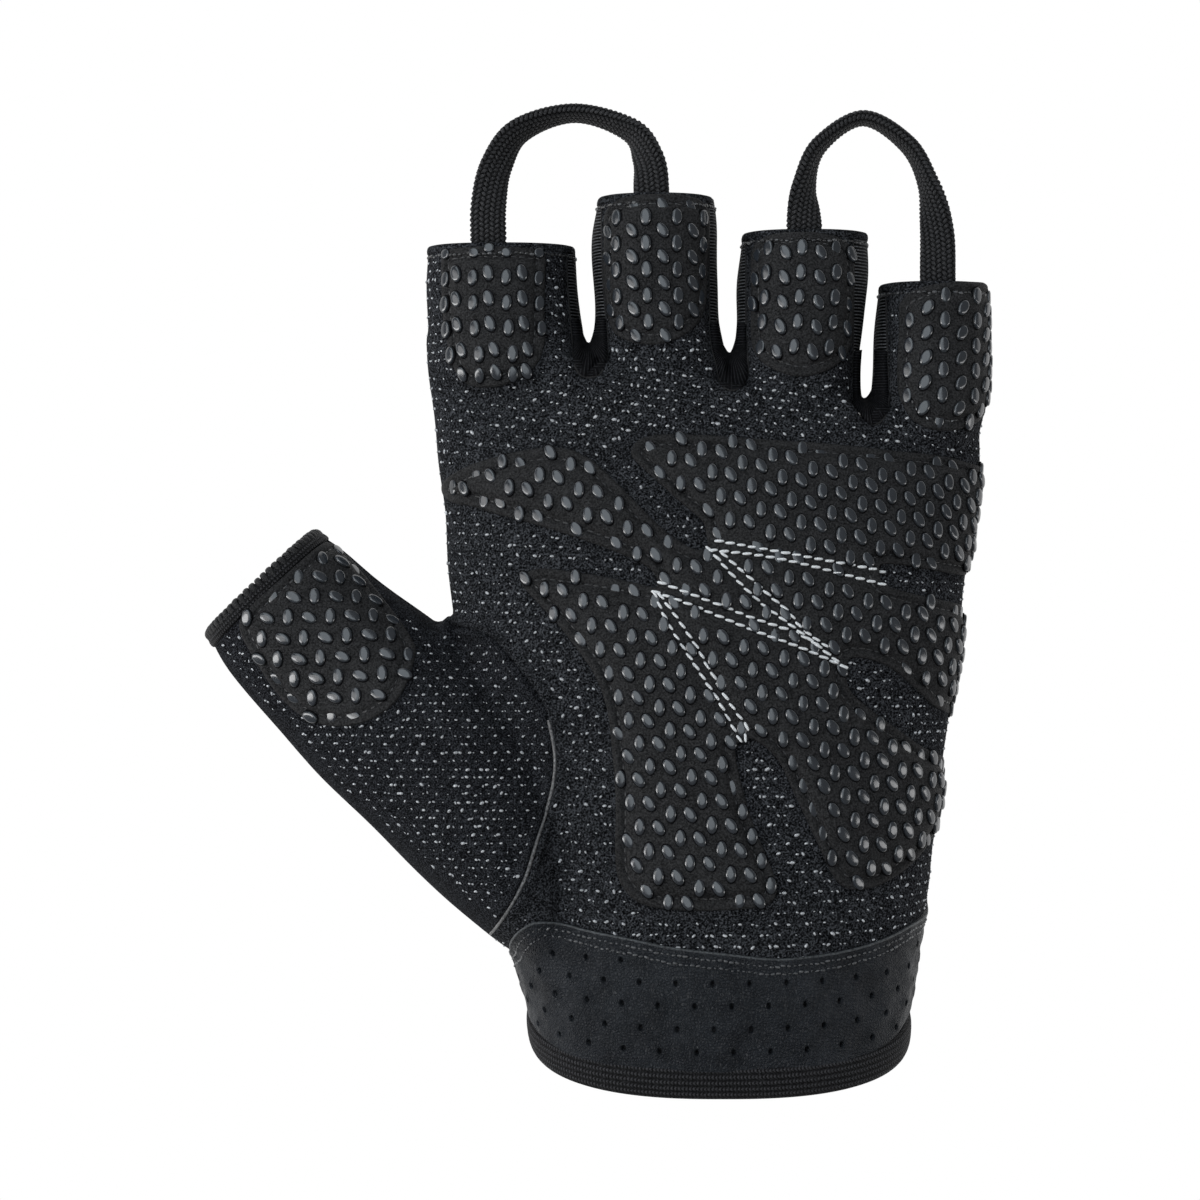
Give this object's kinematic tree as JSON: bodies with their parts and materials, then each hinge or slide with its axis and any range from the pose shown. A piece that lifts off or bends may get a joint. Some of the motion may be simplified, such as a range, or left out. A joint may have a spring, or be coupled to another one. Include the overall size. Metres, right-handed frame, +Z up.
{
  "type": "fingerless training glove",
  "caption": "Left fingerless glove lying palm up: hollow knit shell with dotted grip pads, open finger and thumb ends, perforated wrist band and two braided pull loops.",
  "frame": {"origin": "on the flat back of the glove, where it rests, close to the middle of its footprint", "axes": "+Z up, out of the palm; +Y from the wrist to the fingertips; -X towards the thumb"},
  "size_m": [0.1415, 0.1767, 0.0426],
  "materials": {
    "knit_mesh": "fine black mesh with small shiny flecks",
    "stretch_knit": "plain black stretch knit",
    "perforated_leather": "black grained leather with punched holes",
    "edge_elastic": "black ribbed elastic binding",
    "ribbed_elastic": "black finely ribbed stretch cloth",
    "dotted_grip": "charcoal grip cloth with raised glossy dots",
    "braided_tape": "black braided tape"
  },
  "bodies": {
    "root": {"palm_panel": "knit_mesh", "thumb_panel": "knit_mesh", "back_panel": "stretch_knit", "wrist_band": "perforated_leather", "thumb_binding": "edge_elastic", "wrist_binding": "edge_elastic", "fourchette_index_middle": "ribbed_elastic", "fourchette_middle_ring": "ribbed_elastic", "fourchette_ring_little": "ribbed_elastic", "palm_grip_pad": "dotted_grip", "thumb_grip_pad": "dotted_grip", "index_grip_pad": "dotted_grip", "middle_grip_pad": "dotted_grip", "ring_grip_pad": "dotted_grip", "little_grip_pad": "dotted_grip", "pull_loop_index_middle": "braided_tape", "pull_loop_ring_little": "braided_tape"}
  },
  "joints": []
}
